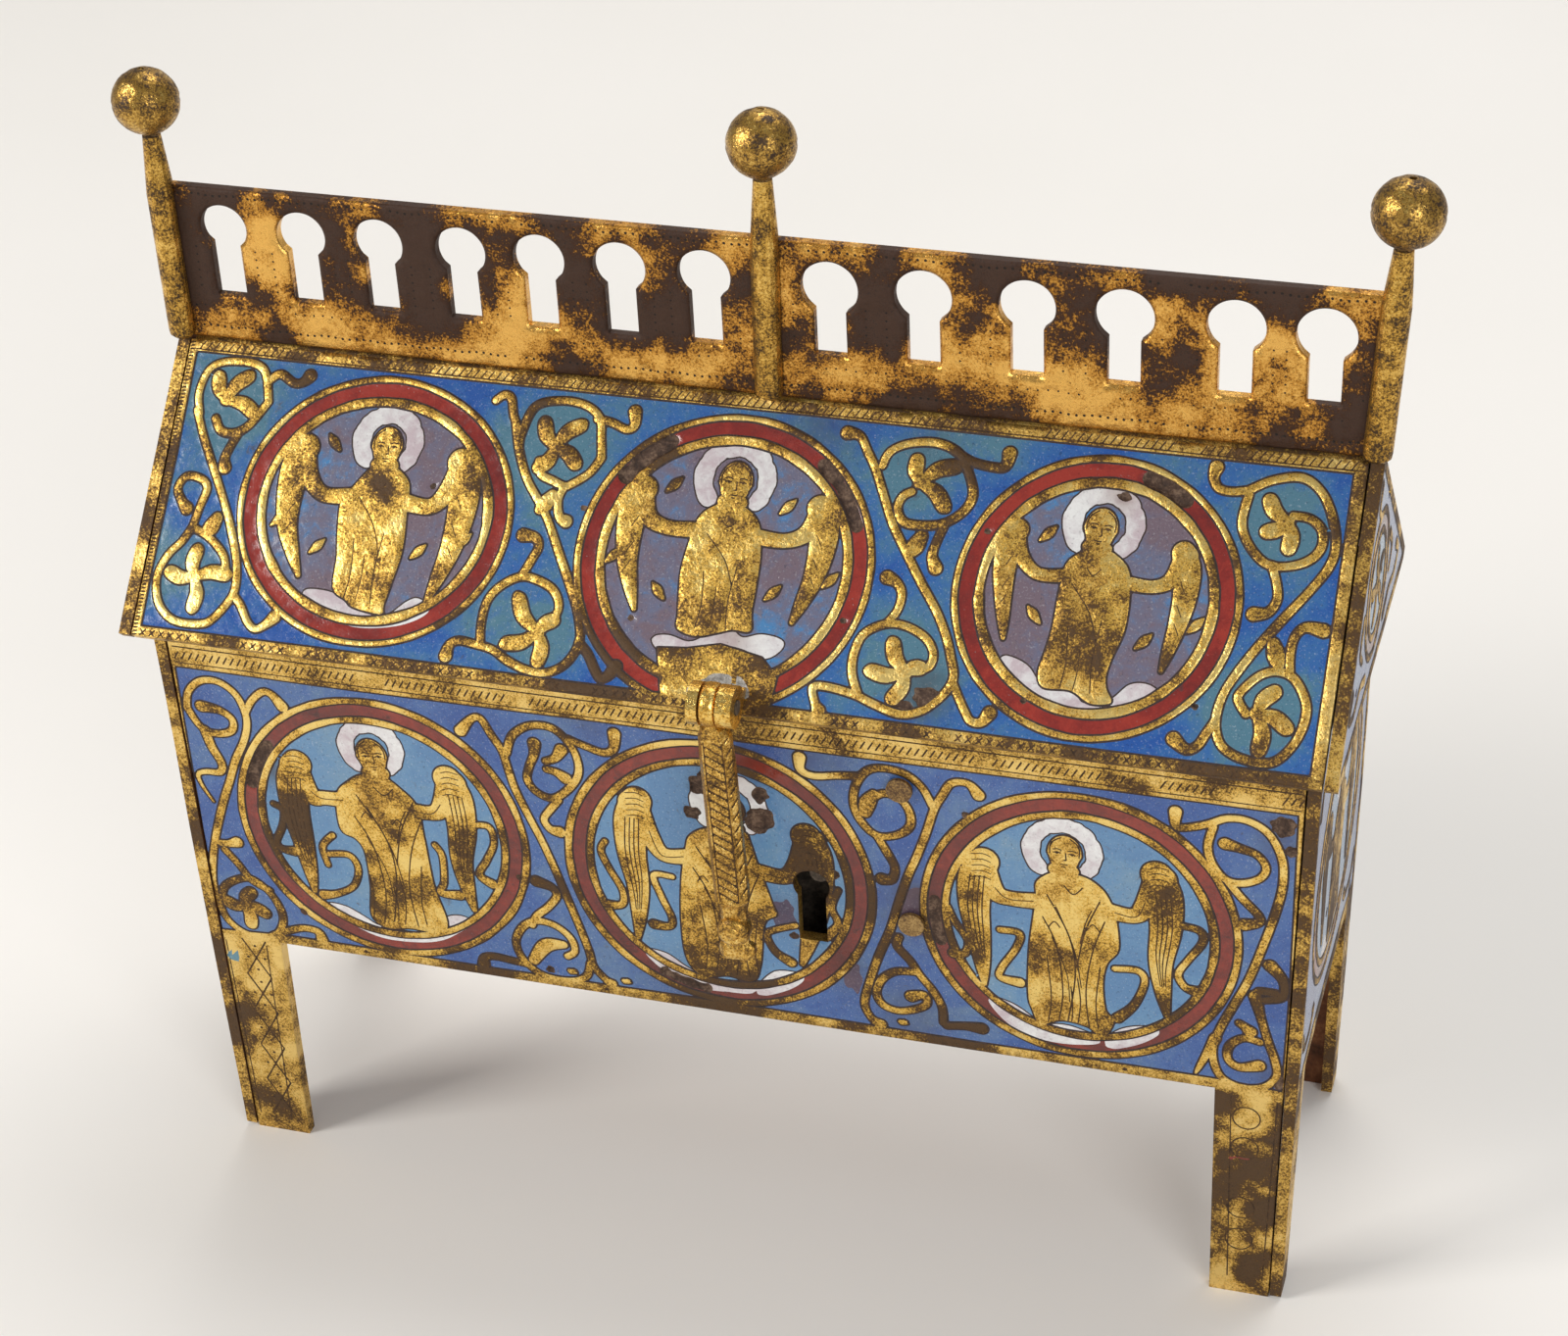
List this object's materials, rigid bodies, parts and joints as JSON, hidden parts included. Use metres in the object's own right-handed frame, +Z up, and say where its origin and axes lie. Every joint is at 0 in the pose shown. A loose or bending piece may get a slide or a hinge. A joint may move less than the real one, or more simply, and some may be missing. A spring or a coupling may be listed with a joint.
{
  "type": "reliquary casket",
  "caption": "House-shaped enamelled casket on plate feet, with a gabled hinged lid, pierced crest with ball-topped posts, keyhole lock and hanging hasp.",
  "frame": {"origin": "middle of the whole part's footprint, at the height of the feet's undersides", "axes": "+X along the ridge to the right as seen from the front, +Y from the front with the hasp to the back, +Z up"},
  "size_m": [0.1964, 0.0758, 0.1816],
  "materials": {
    "enamelled_copper": "champleve enamel, blue ground with red, white and turquoise cells and reserved gilt figures",
    "gilt_copper": "worn fire gilding on copper",
    "worn_gilding": "gilding worn through in blotches to dark brown copper",
    "worn_copper": "dark tarnished copper sheet",
    "lock_iron": "dark rusted iron"
  },
  "bodies": {
    "casket": {"front_plate": "enamelled_copper", "back_plate": "enamelled_copper", "end_plate_left": "enamelled_copper", "end_plate_right": "enamelled_copper", "bottom_plate": "worn_copper", "lock_case": "lock_iron", "lock_rivet_upper": "gilt_copper", "lock_rivet_lower": "gilt_copper", "hinge_strap_box_left": "gilt_copper", "hinge_strap_box_right": "gilt_copper", "hinge_pin_left": "lock_iron", "hinge_pin_right": "lock_iron"},
    "lid": {"roof_front": "enamelled_copper", "roof_back": "enamelled_copper", "gable_left": "enamelled_copper", "gable_right": "enamelled_copper", "crest_plate": "worn_gilding", "crest_post_left": "gilt_copper", "crest_post_middle": "gilt_copper", "crest_post_right": "gilt_copper", "knob_left": "gilt_copper", "knob_middle": "gilt_copper", "knob_right": "gilt_copper", "hasp_lug_left": "gilt_copper", "hasp_lug_right": "gilt_copper", "hasp_pin": "lock_iron", "hinge_strap_lid_left": "gilt_copper", "hinge_strap_lid_right": "gilt_copper"},
    "hasp": {"hasp": "gilt_copper"}
  },
  "joints": [
    {"name": "lid_hinge", "type": "hinge", "parent": "casket", "child": "lid", "pos_m": [0, 0.0362, 0.1], "axis": [-1, 0, 0], "range_deg": [0, 95]},
    {"name": "hasp_hinge", "type": "hinge", "parent": "lid", "child": "hasp", "pos_m": [0.00208, -0.0346, 0.1044], "axis": [-1, 0, 0], "range_deg": [-7, 200]}
  ]
}
